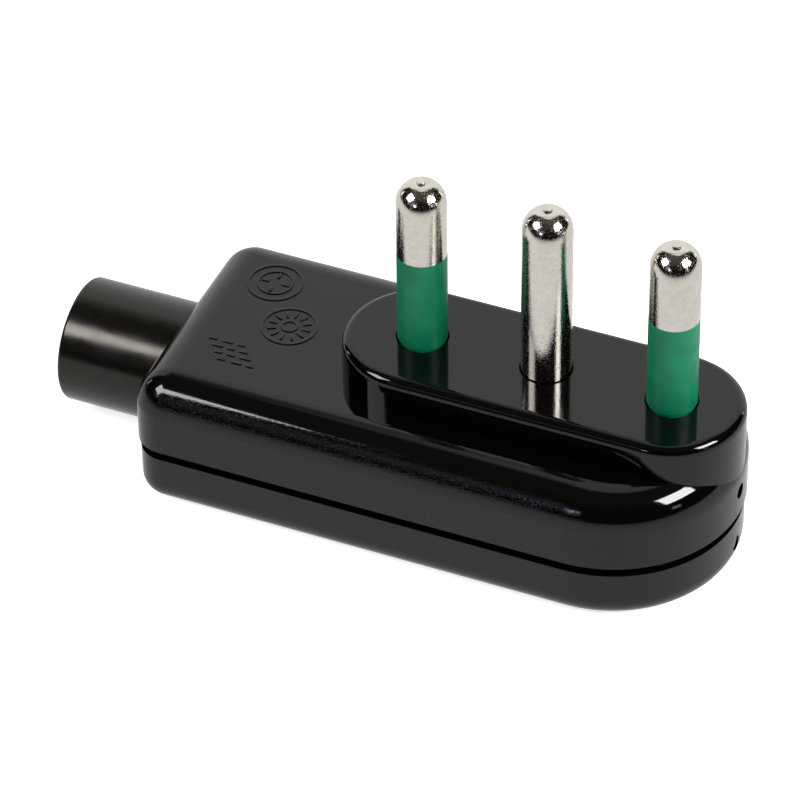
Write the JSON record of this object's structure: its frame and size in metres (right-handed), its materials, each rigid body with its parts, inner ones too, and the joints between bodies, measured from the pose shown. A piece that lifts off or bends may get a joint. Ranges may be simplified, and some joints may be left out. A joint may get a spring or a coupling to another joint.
{
  "type": "low-profile plug",
  "caption": "Flat rewireable mains plug with round pins in line on a raised face, partly sleeved pins, a two-part housing and a round cable bush at its side.",
  "frame": {"origin": "on the flat back face of the back cover, straight under the earth pin", "axes": "+X along the body towards the rounded nose, +Y across the body, +Z along the pins, away from the back"},
  "size_m": [0.0708, 0.0266, 0.0386],
  "materials": {
    "housing": "polished black thermoplastic",
    "cover": "polished black thermoplastic",
    "bush": "satin black moulding",
    "pin_plating": "bright nickel plate on brass",
    "pin_sleeve": "satin green insulation",
    "terminal_brass": "turned and milled brass",
    "zinc_steel": "bright zinc plate",
    "clamp_plastic": "matt black moulding"
  },
  "bodies": {
    "root": {"front_shell": "housing", "back_cover": "cover", "cable_bush": "bush", "live_pin": "pin_plating", "earth_pin": "pin_plating", "neutral_pin": "pin_plating", "live_pin_sleeve": "pin_sleeve", "neutral_pin_sleeve": "pin_sleeve", "live_terminal_block": "terminal_brass", "earth_terminal_block": "terminal_brass", "neutral_terminal_block": "terminal_brass", "live_wire_clamp": "zinc_steel", "earth_wire_clamp": "zinc_steel", "neutral_wire_clamp": "zinc_steel", "terminal_screws": "zinc_steel", "cord_clamp_bar": "clamp_plastic", "cord_clamp_screws": "zinc_steel", "cord_clamp_inserts": "terminal_brass", "cover_screws": "zinc_steel", "cover_inserts": "terminal_brass"}
  },
  "joints": []
}
